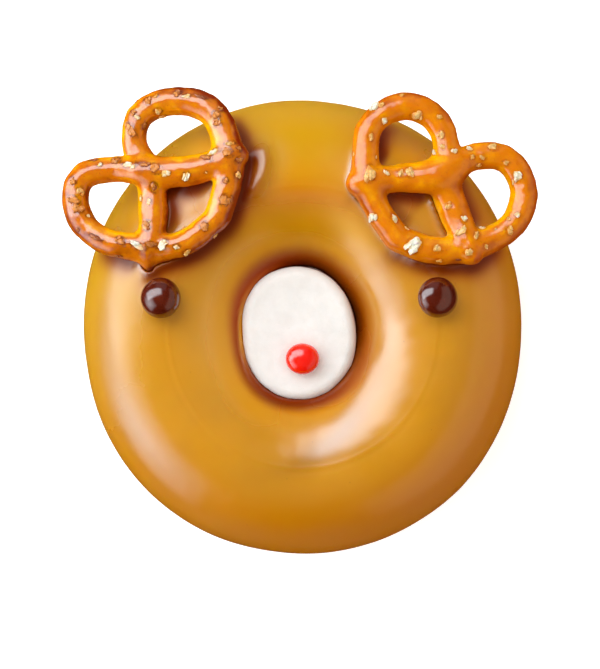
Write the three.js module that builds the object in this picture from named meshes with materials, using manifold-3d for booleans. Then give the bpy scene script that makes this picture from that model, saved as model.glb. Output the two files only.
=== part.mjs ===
// An iced ring doughnut with toppings that make a face with antlers. A caramel icing cap covers
// the top of a fried dough ring, a marshmallow fills the hole, and two mini pretzels, two
// chocolate balls and a red sugar button are pressed on. Millimetres, +Z up. The ring stands on
// the flat of its foot, and the origin is under the middle of the whole, on that level.
import * as THREE from "three";
import { mergeVertices } from "three/addons/utils/BufferGeometryUtils.js";
import Module from "manifold-3d";

const wasm = await Module();
wasm.setup();

// Driving dimensions
const GAP = 0.3; // kept between pieces that touch or are pressed together

const RING_HEIGHT = 31; // over the icing
const WAIST_LEVEL = 14; // height at which the ring is widest
const RING_LINE = 30.15; // mean radius of the line that the tube follows
const RING_LONGER = 0.8; // the ring is longer than it is wide by four times this
const TUBE_OUTWARDS = 16.85; // from the crest to the outer waist, over the icing
const TUBE_INWARDS = 18.5; // from the crest to the narrowest of the hole
const TUBE_SQUARENESS = 0.25; // the outline bulges this much on its diagonals
const FOOT_SINK = 1.2; // how far the round belly is cut short by the flat foot
const CREST_ROLL = 0.35; // the crest rises and falls this much, twice round the ring
const CREST_ROLL_PHASE = 0.8;

const ICING_AT_CREST = 2.0;
const ICING_AT_WAIST = 1.3;
const ICING_BELOW_WAIST = 17; // degrees of the tube that the icing runs down past the waist
const ICING_WAVE = 5; // degrees by which its lower edges wander
const OUTER_WAVES = 5;
const INNER_WAVES = 3;
const RING_STEPS = 46;
const ICED_STEPS = 11; // round the tube, under the icing
const BARE_STEPS = 6; // round the rest of the tube

const MARSHMALLOW = {
  radius: 12.7,
  longer: 1.06, // it is longer than it is wide by four times this
  longerTurn: 0.056, // radians
  threeSided: 0.2, // how far its outline swells three times round
  fourSided: 0.16, // and four times round
  fourSidedTurn: 0.166,
  height: 24.5,
  foot: 0.4, // it hangs in the hole, just clear of what the ring stands on
  edge: 2.8, // radius of its rounded rims
  wedgedAt: 18, // height at which the hole starts to flare round it
  play: 0.45, // left between it and the icing that presses in its side
  offset: [-1.02, -1.15],
};

const EYE_RADIUS = 4.15;
const EYE_SUNK = 1.3;
const EYES = { left: [-29.0, 6.0], right: [27.6, 6.1] };
const NOSE = { radius: 3.45, halfHeight: 2.3, sunk: 0.5, at: [0, -6.5] };

// A pretzel lies in its own plane. Its two strands cross at the origin, the cleft between its
// lobes points along +Y, and the bow runs across at the bottom. Each strand starts at a tip on
// the bow, passes the crossing, rounds the lobe of the other side and ends halfway along the
// bow. Every point gives x, y and the strand's radius there.
const PRETZELS = {
  left: {
    crossing: [-31.7, 31.8, 2.85],
    level: 29.7, // height of the crossing
    cleftHeading: 142.3, // degrees round from +X
    lean: 12, // degrees outwards
    overLobe: "left", // the strand that rounds this lobe passes over the other
    leftLobe: [[-3.9, 6.4, 2.55], [-9.4, 10.6, 2.85], [-15.1, 7.1, 2.65], [-16.9, -0.4, 2.55]],
    rightLobe: [[2.9, 6.2, 2.4], [8.6, 8.9, 2.65], [15.4, 4.5, 2.9], [17.9, -2.8, 2.9]],
    leftJoint: [-12.2, -9.8, 2.8],
    rightJoint: [13.0, -11.0, 2.95],
    leftBow: [-7.2, -15.1, 2.6],
    rightBow: [8.6, -14.4, 2.9],
    middleBow: [1.1, -17.5, 2.6],
    leftArm: [-5.9, -5.9, 2.95],
    rightArm: [5.8, -7.2, 3.05],
    leftTip: [-14.2, -11.5, 2.5],
    rightTip: [13.9, -12.9, 2.4],
  },
  right: {
    crossing: [28.9, 31.2, 3.2],
    level: 30.6,
    cleftHeading: 51,
    lean: 8.5,
    overLobe: "right",
    leftLobe: [[-3.0, 4.9, 2.6], [-8.7, 8.2, 2.75], [-15.2, 6.2, 2.7], [-18.1, -1.2, 2.6]],
    rightLobe: [[1.8, 6.0, 2.7], [7.7, 10.9, 2.7], [14.9, 8.2, 2.75], [17.4, 0.6, 2.7]],
    leftJoint: [-12.7, -9.6, 2.65],
    rightJoint: [13.3, -8.1, 2.75],
    leftBow: [-6.4, -14.0, 2.65],
    rightBow: [8.2, -13.4, 2.8],
    middleBow: [1.0, -16.3, 2.7],
    leftArm: [-7.2, -6.9, 2.85],
    rightArm: [7.3, -4.9, 3.1],
    leftTip: [-12.8, -12.9, 2.2],
    rightTip: [14.4, -9.2, 2.6],
  },
};
const CROSSING_LIFT = 0.9; // one strand passes this far over the middle plane, one under
const TIP_LIFT = 1.0; // the tips lie on top of the bow
const BELLY = 0.82; // a pretzel's underside is flatter than its top
const STRAND_STEPS = 32;
const STRAND_SIDES = 8;

const { sin, cos, PI, hypot } = Math;
const radians = THREE.MathUtils.degToRad;
const lerp = THREE.MathUtils.lerp;

// Radius of the line that the tube follows, and the tube's width to either side, at a heading
const ringLine = (heading) => RING_LINE - RING_LONGER * cos(2 * heading);
const tubeHalfWidth = (heading, inwards) =>
  (inwards ? TUBE_INWARDS : TUBE_OUTWARDS) - TUBE_SQUARENESS * cos(4 * heading);
const crestRoll = (heading) => CREST_ROLL * sin(2 * heading + CREST_ROLL_PHASE);

// A point of the ring's skin, moved in by a depth. The angle runs round the tube: 0 is the
// outer waist and PI / 2 the crest.
function skin(heading, angle, depth) {
  const half = tubeHalfWidth(heading, cos(angle) < 0) - depth;
  const above = sin(angle) > 0;
  const crest = RING_HEIGHT + crestRoll(heading) - WAIST_LEVEL - depth;
  const rise = sin(angle) * (above ? crest : WAIST_LEVEL + FOOT_SINK);
  const out = ringLine(heading) + half * cos(angle);
  const level = Math.max(0, WAIST_LEVEL + rise);
  return new THREE.Vector3(out * cos(heading), out * sin(heading), level);
}

// How thick the icing is at an angle of the tube
function icingDepth(angle) {
  return lerp(ICING_AT_WAIST, ICING_AT_CREST, Math.max(0, sin(angle)));
}

// Angles of the tube from the icing's outer edge, at 0, over the crest to its edge in the
// hole, at 1, and on under the foot to its outer edge again, at 2
function tubeAngle(heading, along) {
  const outerWave = ICING_WAVE * sin(OUTER_WAVES * heading + sin(2 * heading));
  const innerWave = ICING_WAVE * sin(INNER_WAVES * heading);
  const outerEdge = -radians(ICING_BELOW_WAIST + outerWave);
  const innerEdge = PI + radians(ICING_BELOW_WAIST + innerWave);
  if (along <= 1) return lerp(outerEdge, innerEdge, along);
  return lerp(innerEdge, outerEdge + 2 * PI, along - 1);
}

// Places the points of a torus by a function of the heading and the step round the tube
function ringShape(tubeSteps, pointAt) {
  const torus = new THREE.TorusGeometry(RING_LINE, TUBE_OUTWARDS, tubeSteps, RING_STEPS);
  const { position, uv } = torus.attributes;
  for (let i = 0; i < position.count; i++) {
    const heading = uv.getX(i) * 2 * PI;
    const step = Math.round(uv.getY(i) * tubeSteps) % tubeSteps;
    const p = pointAt(heading, step);
    position.setXYZ(i, p.x, p.y, p.z);
  }
  return torus;
}

function doughShape() {
  return ringShape(ICED_STEPS + BARE_STEPS, (heading, step) => {
    const iced = step <= ICED_STEPS;
    const along = iced ? step / ICED_STEPS : 1 + (step - ICED_STEPS) / BARE_STEPS;
    const angle = tubeAngle(heading, along);
    return skin(heading, angle, icingDepth(angle));
  });
}

// The profile runs over the icing's face and comes back along the dough
function icingShape() {
  const faceSteps = ICED_STEPS + 1;
  return ringShape(2 * faceSteps, (heading, step) => {
    const onFace = step < faceSteps;
    const along = (onFace ? step : 2 * faceSteps - 1 - step) / ICED_STEPS;
    const angle = tubeAngle(heading, along);
    return skin(heading, angle, onFace ? 0 : icingDepth(angle) - GAP);
  });
}

// How far the hole's side is from the axis, at a heading and a height
function holeRadius(heading, level) {
  const reach = level > WAIST_LEVEL ? RING_HEIGHT - WAIST_LEVEL : WAIST_LEVEL + FOOT_SINK;
  const rise = (level - WAIST_LEVEL) / reach;
  return ringLine(heading) - tubeHalfWidth(heading, true) * Math.sqrt(1 - rise ** 2);
}

// The marshmallow's own outline, by heading from its middle
function marshmallowRadius(heading) {
  const { radius, longer, longerTurn, threeSided, fourSided, fourSidedTurn } = MARSHMALLOW;
  const oval = longer * cos(2 * (heading - longerTurn));
  const square = fourSided * cos(4 * (heading - fourSidedTurn));
  return radius - oval + threeSided * cos(3 * heading) - square;
}

function marshmallowShape() {
  const { radius, height, foot, edge, wedgedAt, play, offset } = MARSHMALLOW;
  const side = radius - edge;
  const outline = new THREE.Path();
  outline.moveTo(0, foot);
  outline.lineTo(side, foot);
  outline.absarc(side, foot + edge, edge, -PI / 2, 0);
  outline.lineTo(radius, WAIST_LEVEL - edge);
  outline.lineTo(radius, WAIST_LEVEL);
  outline.lineTo(radius, wedgedAt);
  outline.absarc(side, height - edge, edge, 0, PI / 2);
  outline.lineTo(0, height);
  const body = new THREE.LatheGeometry(outline.getPoints(2), 28).rotateX(PI / 2);
  const { position } = body.attributes;
  for (let i = 0; i < position.count; i++) {
    const [x, y, z] = [position.getX(i), position.getY(i), position.getZ(i)];
    const fit = marshmallowRadius(Math.atan2(y, x)) / radius;
    const placed = new THREE.Vector2(x * fit + offset[0], y * fit + offset[1]);
    placed.clampLength(0, holeRadius(placed.angle(), z) - play);
    position.setXY(i, placed.x, placed.y);
  }
  return body;
}

// Bends an upright capsule along a curve through points that each carry their own radius,
// grown by a margin
function bendAlong(points, radii, margin) {
  const curve = new THREE.CatmullRomCurve3(points);
  const capsule = new THREE.CapsuleGeometry(1, 1, 2, STRAND_SIDES, STRAND_STEPS);
  const { tangents, normals, binormals } = curve.computeFrenetFrames(STRAND_STEPS);
  const { position } = capsule.attributes;
  for (let i = 0; i < position.count; i++) {
    const height = position.getY(i) + 0.5;
    const share = THREE.MathUtils.clamp(height, 0, 1);
    const step = Math.round(share * STRAND_STEPS);
    const reached = curve.getUtoTmapping(share) * (points.length - 1);
    const from = Math.min(Math.floor(reached), points.length - 2);
    const radius = lerp(radii[from], radii[from + 1], reached - from) + margin;
    const p = curve
      .getPointAt(share)
      .addScaledVector(normals[step], position.getX(i) * radius)
      .addScaledVector(binormals[step], -position.getZ(i) * radius)
      .addScaledVector(tangents[step], (height - share) * radius);
    position.setXYZ(i, p.x, p.y, p.z);
  }
  return capsule;
}

// One strand of a pretzel, grown by a margin to cut its seat in the icing
function strandShape(pretzel, lobe, margin) {
  const other = lobe === "left" ? "right" : "left";
  const lift = pretzel.overLobe === lobe ? CROSSING_LIFT : -CROSSING_LIFT;
  const path = [
    [pretzel[other + "Tip"], TIP_LIFT],
    [pretzel[other + "Arm"], lift / 2],
    [[0, 0, pretzel.crossing[2]], lift],
    ...pretzel[lobe + "Lobe"].map((point) => [point, 0]),
    [pretzel[lobe + "Joint"], 0],
    [pretzel[lobe + "Bow"], 0],
    [pretzel.middleBow, 0],
  ];
  const points = path.map(([[x, y], height]) => new THREE.Vector3(x, y, height));
  const radii = path.map(([point]) => point[2]);
  return bendAlong(points, radii, margin);
}

// Exact solids, for cutting and joining
function toSolid(shape) {
  const bare = shape.clone();
  bare.deleteAttribute("normal");
  bare.deleteAttribute("uv");
  const welded = mergeVertices(bare, 1e-3);
  const vertProperties = welded.attributes.position.array;
  const triVerts = new Uint32Array(welded.index.array);
  return new wasm.Manifold(new wasm.Mesh({ numProp: 3, vertProperties, triVerts }));
}

function toShape(solid) {
  const mesh = solid.getMesh();
  const shape = new THREE.BufferGeometry();
  shape.setAttribute("position", new THREE.BufferAttribute(mesh.vertProperties, 3));
  shape.setIndex(new THREE.BufferAttribute(mesh.triVerts, 1));
  shape.computeVertexNormals();
  return shape;
}

function pretzelShape(pretzel, margin = 0) {
  const left = toSolid(strandShape(pretzel, "left", margin));
  const right = toSolid(strandShape(pretzel, "right", margin));
  const shape = toShape(left.add(right));
  const { position } = shape.attributes;
  for (let i = 0; i < position.count; i++) {
    if (position.getZ(i) < 0) position.setZ(i, position.getZ(i) * BELLY);
  }
  return shape;
}

// Where a pretzel lies: turned in its plane, then leant outwards, at its crossing
function pretzelPlace({ crossing, level, cleftHeading, lean }) {
  const outwards = Math.atan2(crossing[1], crossing[0]);
  const place = new THREE.Matrix4().makeTranslation(crossing[0], crossing[1], level);
  place.multiply(new THREE.Matrix4().makeRotationZ(outwards));
  place.multiply(new THREE.Matrix4().makeRotationY(radians(lean)));
  return place.multiply(
    new THREE.Matrix4().makeRotationZ(radians(cleftHeading - 90) - outwards),
  );
}

// Height of the icing's face over a point near the crest
function crestLevel([x, y]) {
  const heading = Math.atan2(y, x);
  const away = hypot(x, y) - ringLine(heading);
  return skin(heading, Math.acos(away / tubeHalfWidth(heading, away < 0)), 0).z;
}

function eyeShape(at, margin = 0) {
  const ball = new THREE.SphereGeometry(EYE_RADIUS + margin, 14, 10).rotateX(PI / 2);
  return ball.translate(at[0], at[1], crestLevel(at) + EYE_RADIUS - EYE_SUNK);
}

function noseShape(margin = 0) {
  const { radius, halfHeight, sunk, at } = NOSE;
  const button = new THREE.SphereGeometry(1, 16, 10).rotateX(PI / 2);
  button.scale(radius + margin, radius + margin, halfHeight + margin);
  return button.translate(at[0], at[1], MARSHMALLOW.height + halfHeight - sunk);
}

// Materials
const finish = (color, roughness) =>
  new THREE.MeshStandardMaterial({ color, roughness, metalness: 0 });
const dough = finish(0xc98a45, 0.75);
const caramelIcing = finish(0xd28c14, 0.3);
const bakedPretzel = finish(0xc9700f, 0.35);
const chocolate = finish(0x4c150c, 0.3);
const marshmallow = finish(0xf8f2ec, 0.9);
const redSugar = finish(0xe0140c, 0.25);

// Assembly
const whole = new THREE.Group();

function addPiece(name, shape, material, place = new THREE.Matrix4()) {
  const mesh = new THREE.Mesh(shape, material);
  mesh.name = name;
  mesh.applyMatrix4(place);
  whole.add(mesh);
}

addPiece("dough_ring", doughShape(), dough);

let icing = toSolid(icingShape());
for (const [side, pretzel] of Object.entries(PRETZELS)) {
  const place = pretzelPlace(pretzel);
  icing = icing.subtract(toSolid(pretzelShape(pretzel, GAP).applyMatrix4(place)));
  addPiece(`pretzel_${side}`, pretzelShape(pretzel), bakedPretzel, place);
}
for (const [side, at] of Object.entries(EYES)) {
  icing = icing.subtract(toSolid(eyeShape(at, GAP)));
  addPiece(`chocolate_ball_${side}`, eyeShape(at), chocolate);
}
addPiece("icing", toShape(icing), caramelIcing);

const seated = toSolid(marshmallowShape()).subtract(toSolid(noseShape(GAP)));
addPiece("marshmallow", toShape(seated), marshmallow);
addPiece("sugar_button", noseShape(), redSugar);

// The origin goes under the middle of the whole
const bounds = new THREE.Box3().setFromObject(whole, true);
const middle = bounds.getCenter(new THREE.Vector3());
whole.position.set(-middle.x, -middle.y, -bounds.min.z);

export default whole;
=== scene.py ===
"""Looks of the iced ring doughnut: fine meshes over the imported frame, food materials, soft light.

Lengths are in millimetres until a mesh is made. Headings run round the ring from +X, and angles
round its tube from the outer waist over the crest."""

import math
import random

import bmesh
import bpy
import numpy as np
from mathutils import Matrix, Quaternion, Vector, noise
from mathutils.bvhtree import BVHTree


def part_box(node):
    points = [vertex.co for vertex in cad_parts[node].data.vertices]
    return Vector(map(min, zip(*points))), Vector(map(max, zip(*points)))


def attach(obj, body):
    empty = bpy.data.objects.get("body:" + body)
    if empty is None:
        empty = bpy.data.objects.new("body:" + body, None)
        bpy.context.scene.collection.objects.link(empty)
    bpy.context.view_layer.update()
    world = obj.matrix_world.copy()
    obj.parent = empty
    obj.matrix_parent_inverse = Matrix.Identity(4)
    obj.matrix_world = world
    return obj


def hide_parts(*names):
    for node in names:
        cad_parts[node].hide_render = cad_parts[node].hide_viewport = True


MM = 0.001
TAU = 2 * math.pi

# The ring as the frame has it
RING_HEIGHT = 31.0
WAIST_LEVEL = 14.0
RING_LINE = 30.15
RING_LONGER = 0.8
TUBE_OUTWARDS = 16.85
TUBE_INWARDS = 18.5
TUBE_SQUARENESS = 0.25
FOOT_SINK = 1.2
CREST_ROLL = 0.35
CREST_ROLL_PHASE = 0.8
ICING_AT_CREST = 2.0
ICING_AT_WAIST = 1.3
ICING_BELOW_WAIST = 17
ICING_WAVE = 5

# The photograph: its size, the ring's axis in it, and the scale at the waist's level
PHOTO_SIZE = (600, 669)
AXIS_PIXEL = (302.5, 327.0)
PIXEL_AT_WAIST = 0.21
CAMERA_HEIGHT = 760.0
SENSOR = 36.0

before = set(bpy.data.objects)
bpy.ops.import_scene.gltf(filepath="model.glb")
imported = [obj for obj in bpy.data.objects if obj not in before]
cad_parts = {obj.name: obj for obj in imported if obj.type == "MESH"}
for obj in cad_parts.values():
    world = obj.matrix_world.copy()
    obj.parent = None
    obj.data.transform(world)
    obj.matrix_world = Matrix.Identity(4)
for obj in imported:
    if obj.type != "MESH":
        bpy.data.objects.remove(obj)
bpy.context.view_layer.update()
ring_low, ring_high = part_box("dough_ring")
AXIS = np.array([ring_low[0] + ring_high[0], ring_low[1] + ring_high[1], 0.0]) / 2 / MM


# Shared helpers
def smoothstep(low, high, value):
    t = np.clip((value - low) / (high - low), 0, 1)
    return t * t * (3 - 2 * t)


def bell(value, middle, width):
    return np.exp(-(((value - middle) / width) ** 2))


def turned(heading, degrees):
    """Headings measured from another one, between -pi and pi"""
    return np.angle(np.exp(1j * (heading - math.radians(degrees))))


def grain(points, size, seed=0):
    """Smooth noise from -1 to 1 at each point, with features of about that size"""
    shift = Vector((seed * 17.3, seed * -9.1, seed * 5.7))
    return np.array([noise.noise(Vector(p) / size + shift) for p in points])


def make_mesh(name, points, faces, smooth=True):
    mesh = bpy.data.meshes.new(name)
    mesh.from_pydata((np.asarray(points) * MM).tolist(), [], faces)
    mesh.update()
    if smooth:
        mesh.shade_smooth()
    piece = bpy.data.objects.new(name, mesh)
    bpy.context.collection.objects.link(piece)
    return piece


def points_of(piece):
    flat = np.empty(len(piece.data.vertices) * 3)
    piece.data.vertices.foreach_get("co", flat)
    return flat.reshape(-1, 3) / MM


def normals_of(piece):
    flat = np.empty(len(piece.data.vertices) * 3)
    piece.data.vertex_normals.foreach_get("vector", flat)
    return flat.reshape(-1, 3)


def set_points(piece, points):
    piece.data.vertices.foreach_set("co", (points * MM).ravel())
    piece.data.update()


def set_value(piece, name, values):
    layer = piece.data.attributes.new(name, "FLOAT", "POINT")
    layer.data.foreach_set("value", np.asarray(values, dtype=np.float32))


def ring_faces(rows, columns):
    """Quads of a grid that closes both ways. A row is a heading, a column a step of the tube."""
    r, c = np.meshgrid(np.arange(rows), np.arange(columns), indexing="ij")
    r2, c2 = (r + 1) % rows, (c + 1) % columns
    quads = np.stack([r * columns + c, r2 * columns + c, r2 * columns + c2, r * columns + c2], -1)
    return quads.reshape(-1, 4).tolist()


def tree_of(piece, squash=1.0):
    points = points_of(piece) * [1, 1, squash]
    return BVHTree.FromPolygons([tuple(p) for p in points], [tuple(f.vertices) for f in piece.data.polygons])


# The ring's skin, moved in by a depth
def ring_line(heading):
    return RING_LINE - RING_LONGER * np.cos(2 * heading)


def tube_half_width(heading, inwards):
    return np.where(inwards, TUBE_INWARDS, TUBE_OUTWARDS) - TUBE_SQUARENESS * np.cos(4 * heading)


def skin(heading, angle, depth):
    half = tube_half_width(heading, np.cos(angle) < 0) - depth
    roll = CREST_ROLL * np.sin(2 * heading + CREST_ROLL_PHASE)
    crest = RING_HEIGHT + roll - WAIST_LEVEL - depth
    rise = np.sin(angle) * np.where(np.sin(angle) > 0, crest, WAIST_LEVEL + FOOT_SINK)
    out = ring_line(heading) + half * np.cos(angle)
    level = np.maximum(0, WAIST_LEVEL + rise)
    return np.stack([out * np.cos(heading), out * np.sin(heading), level], -1) + AXIS


def icing_depth(angle):
    height = np.maximum(0, np.sin(angle))
    return ICING_AT_WAIST + (ICING_AT_CREST - ICING_AT_WAIST) * height


def icing_edges(heading):
    outer = ICING_BELOW_WAIST + ICING_WAVE * np.sin(5 * heading + np.sin(2 * heading))
    inner = ICING_BELOW_WAIST + ICING_WAVE * np.sin(3 * heading)
    return -np.radians(outer), math.pi + np.radians(inner)


# Camera, straight above as in the photograph
def add_camera():
    data = bpy.data.cameras.new("camera")
    camera = bpy.data.objects.new("camera", data)
    bpy.context.collection.objects.link(camera)
    across = [PHOTO_SIZE[0] / 2 - AXIS_PIXEL[0], AXIS_PIXEL[1] - PHOTO_SIZE[1] / 2]
    place = AXIS + np.array([*across, 0]) * PIXEL_AT_WAIST
    camera.location = (place + np.array([0, 0, CAMERA_HEIGHT])) * MM
    far = CAMERA_HEIGHT - WAIST_LEVEL
    data.lens = SENSOR * far / (PHOTO_SIZE[1] * PIXEL_AT_WAIST)
    data.sensor_width = SENSOR
    data.sensor_fit = "AUTO"
    data.clip_start = 0.05
    data.clip_end = 10
    bpy.context.scene.camera = camera
    return np.array(camera.location) / MM


EYE = add_camera()


def below_pixel(x, y):
    """Direction from the camera through a pixel of the photograph"""
    scale = PIXEL_AT_WAIST / (CAMERA_HEIGHT - WAIST_LEVEL)
    return Vector(((x - PHOTO_SIZE[0] / 2) * scale, (PHOTO_SIZE[1] / 2 - y) * scale, -1)).normalized()


# Materials
class Nodes:
    """The nodes of a lamp or the world, made one call at a time"""

    def __init__(self, tree):
        self.tree = tree

    def add(self, kind, **settings):
        node = self.tree.nodes.new(kind)
        for key, value in settings.items():
            setattr(node, key, value)
        return node

    def link(self, source, target):
        self.tree.links.new(source, target)

    def put(self, socket, value):
        if isinstance(value, bpy.types.NodeSocket):
            self.link(value, socket)
        else:
            socket.default_value = value

    def ramp(self, value, low, high, to_low=0.0, to_high=1.0):
        node = self.add("ShaderNodeMapRange", interpolation_type="SMOOTHSTEP")
        self.put(node.inputs["Value"], value)
        for key, number in zip(("From Min", "From Max", "To Min", "To Max"), (low, high, to_low, to_high)):
            node.inputs[key].default_value = number
        return node.outputs["Result"]

    def math(self, operation, a, b=0.0):
        node = self.add("ShaderNodeMath", operation=operation)
        self.put(node.inputs[0], a)
        self.put(node.inputs[1], b)
        return node.outputs[0]

    def split(self, vector):
        node = self.add("ShaderNodeSeparateXYZ")
        self.link(vector, node.inputs[0])
        return node.outputs


class Looks(Nodes):
    """A material's nodes"""

    def __init__(self, name):
        self.material = bpy.data.materials.new(name)
        self.material.use_nodes = True
        super().__init__(self.material.node_tree)
        self.shader = self.tree.nodes["Principled BSDF"]
        self.place = self.add("ShaderNodeTexCoord").outputs["Object"]

    def noise(self, size_mm, detail=2.0, roughness=0.5):
        node = self.add("ShaderNodeTexNoise")
        node.inputs["Scale"].default_value = 1 / (size_mm * MM)
        node.inputs["Detail"].default_value = detail
        node.inputs["Roughness"].default_value = roughness
        self.link(self.place, node.inputs["Vector"])
        return node.outputs["Fac"]

    def cells(self, size_mm):
        node = self.add("ShaderNodeTexVoronoi", feature="F1")
        node.inputs["Scale"].default_value = 1 / (size_mm * MM)
        self.link(self.place, node.inputs["Vector"])
        return node.outputs["Distance"]

    def value(self, name):
        return self.add("ShaderNodeAttribute", attribute_name=name).outputs["Fac"]

    def mix(self, factor, a, b, blend="MIX"):
        node = self.add("ShaderNodeMix", data_type="RGBA", blend_type=blend)
        self.put(node.inputs["Factor"], factor)
        self.put(node.inputs["A"], (*a, 1) if isinstance(a, tuple) else a)
        self.put(node.inputs["B"], (*b, 1) if isinstance(b, tuple) else b)
        return node.outputs["Result"]

    def height_of(self):
        return self.split(self.place)["Z"]

    def bump(self, height, depth_mm):
        node = self.add("ShaderNodeBump")
        node.inputs["Strength"].default_value = 1.0
        node.inputs["Distance"].default_value = depth_mm * MM
        self.link(height, node.inputs["Height"])
        self.link(node.outputs["Normal"], self.shader.inputs["Normal"])

    def set(self, **values):
        for key, value in values.items():
            self.put(self.shader.inputs[key.replace("_", " ")], value)


def icing_material():
    n = Looks("caramel_icing")
    body = n.mix(n.ramp(n.noise(14, 3), 0.35, 0.65), (0.59, 0.243, 0.0), (0.64, 0.265, 0.0))
    # Paler where a painted sheen lies on the inner slopes
    painted_sheen = n.mix(n.value("painted_sheen"), body, (0.80, 0.40, 0.05))
    # Yellower painted light on the slopes turned to the lamps
    painted_light_yellow = n.mix(n.value("painted_light_yellow"), painted_sheen, (0.57, 0.277, 0.0))
    # Redder painted shade on the slopes turned from the lamps and inside the top of the crest
    painted_shade_red = n.mix(n.value("painted_shade_red"), painted_light_yellow, (0.57, 0.176, 0.0))
    # Body painted darker under the highlight bands, so that the sheen there looks whiter
    darkened_under_sheen = n.mix(n.math("MULTIPLY", n.value("gleam"), 0.9), painted_shade_red, (0.36, 0.13, 0.0))
    # Painted shade: dark brown in the groove round the marshmallow and beside the pretzels, more golden on
    # the groove's left, and a nearly black painted shadow under the pieces
    groove = n.mix(n.value("amber"), (0.30, 0.03, 0.0005), (0.43, 0.034, 0.0))
    with_painted_shade = n.mix(n.value("painted_shade"), darkened_under_sheen, groove)
    shade_paint = n.mix(n.value("under"), with_painted_shade, (0.09, 0.007, 0.0))
    specks = n.ramp(n.cells(2.6), 0.03, 0.09, 1.0, 0.0)
    rare = n.math("MULTIPLY", specks, n.ramp(n.noise(5, 1), 0.55, 0.7))
    n.set(Base_Color=n.mix(n.math("MULTIPLY", rare, 0.5), shade_paint, (0.30, 0.09, 0.001)))
    film = n.math("MULTIPLY", n.math("MAXIMUM", n.value("dull"), n.value("calm")), 0.24)
    uneven = n.ramp(n.noise(9, 3), 0.3, 0.7, 0.2, 0.25)
    n.set(Roughness=n.math("ADD", uneven, film), IOR=1.6, Specular_IOR_Level=1.0)
    veiled = n.math("MAXIMUM", n.math("MAXIMUM", n.value("painted_shade"), n.value("dull")), n.value("calm"))
    n.set(Specular_Tint=n.mix(veiled, (1.0, 1.0, 1.0), (0.08, 0.07, 0.06)))
    n.set(Coat_Weight=n.value("gleam"), Coat_IOR=1.7, Coat_Roughness=0.2)
    n.set(Subsurface_Weight=0.25, Subsurface_Radius=(1.0, 0.35, 0.08), Subsurface_Scale=0.0016)
    n.bump(n.noise(1.1, 4), 0.012)
    return n.material


def dough_material():
    n = Looks("dough")
    level = n.height_of()
    patch = n.noise(7, 4)
    wobble = n.math("MULTIPLY", n.math("SUBTRACT", patch, 0.5), 0.005)
    band_level = n.math("ADD", level, wobble)
    band = n.math("MULTIPLY", n.ramp(band_level, 0.0055, 0.008), n.ramp(band_level, 0.0115, 0.0135, 1.0, 0.0))
    crust = n.mix(n.ramp(patch, 0.3, 0.7), (0.42, 0.17, 0.045), (0.60, 0.29, 0.09))
    fine = n.mix(n.ramp(n.noise(0.9, 5), 0.4, 0.75, 0.0, 0.45), crust, (0.27, 0.10, 0.025))
    n.set(Base_Color=n.mix(n.math("MULTIPLY", band, 0.85), fine, (0.80, 0.55, 0.27)))
    n.set(Roughness=n.ramp(n.noise(3, 3), 0.3, 0.7, 0.5, 0.72))
    n.set(Subsurface_Weight=0.15, Subsurface_Radius=(1.0, 0.5, 0.2), Subsurface_Scale=0.0015)
    n.bump(n.noise(0.7, 6), 0.09)
    return n.material


def pretzel_material(name, gloss, golden, amber, dark, halo):
    n = Looks(name)
    # The stored value mixes browning with painted shade and painted darkening where the lamps strike; golden,
    # amber and dark follow it
    mottled = n.math("ADD", n.value("bake_and_shade"), n.ramp(n.noise(3.2, 3), 0.25, 0.75, -0.2, 0.2))
    light = n.mix(n.ramp(mottled, 0.0, 0.5), golden, amber)
    browning_and_shade = n.mix(n.ramp(mottled, 0.5, 1.0), light, dark)
    broken = n.ramp(n.noise(0.9, 2), 0.4, 0.6, 0.3, 1.0)
    # A painted shadow, broken up, in the crevice round each salt crystal
    ringed = n.mix(n.math("MULTIPLY", n.value("halo"), broken), browning_and_shade, halo)
    freckles = n.ramp(n.noise(0.45, 3), 0.6, 0.74, 0.0, 0.35)
    n.set(Base_Color=n.mix(freckles, ringed, dark))
    n.set(Roughness=n.ramp(n.noise(1.6, 3), 0.3, 0.7, 0.1, 0.18), IOR=1.6, Specular_IOR_Level=1.0)
    n.set(Specular_Tint=n.mix(n.value("matt"), (gloss,) * 3, (gloss * 0.35,) * 3))
    n.set(Coat_Weight=n.ramp(n.value("matt"), 0.0, 1.0, gloss * 0.5, 0.0), Coat_IOR=1.5, Coat_Roughness=0.08)
    n.set(Subsurface_Weight=0.35, Subsurface_Radius=(1.0, 0.25, 0.02), Subsurface_Scale=0.002)
    n.bump(n.noise(0.9, 3), 0.012)
    return n.material


def salt_material(name, core, rim, weight):
    n = Looks(name)
    cloudy = n.mix(n.ramp(n.noise(0.5, 3), 0.35, 0.65), core, tuple(c * 0.75 for c in core))
    # Darker and more orange at the foot, where it sits on the pretzel: painted shade
    n.set(Base_Color=n.mix(n.value("rim"), cloudy, rim))
    n.set(Roughness=n.ramp(n.noise(0.4, 2), 0.3, 0.7, 0.15, 0.35))
    n.set(Subsurface_Weight=weight, Subsurface_Radius=(1.0, 0.6, 0.3), Subsurface_Scale=0.0006)
    n.bump(n.noise(0.35, 3), 0.05)
    return n.material


def chocolate_material():
    n = Looks("chocolate")
    n.set(Base_Color=n.mix(n.ramp(n.noise(2.5, 3), 0.3, 0.7), (0.085, 0.008, 0.002), (0.115, 0.012, 0.003)))
    n.set(Roughness=n.ramp(n.noise(1.4, 3), 0.3, 0.7, 0.12, 0.17), IOR=1.6, Specular_IOR_Level=1.0)
    n.bump(n.noise(0.9, 3), 0.015)
    return n.material


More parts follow.
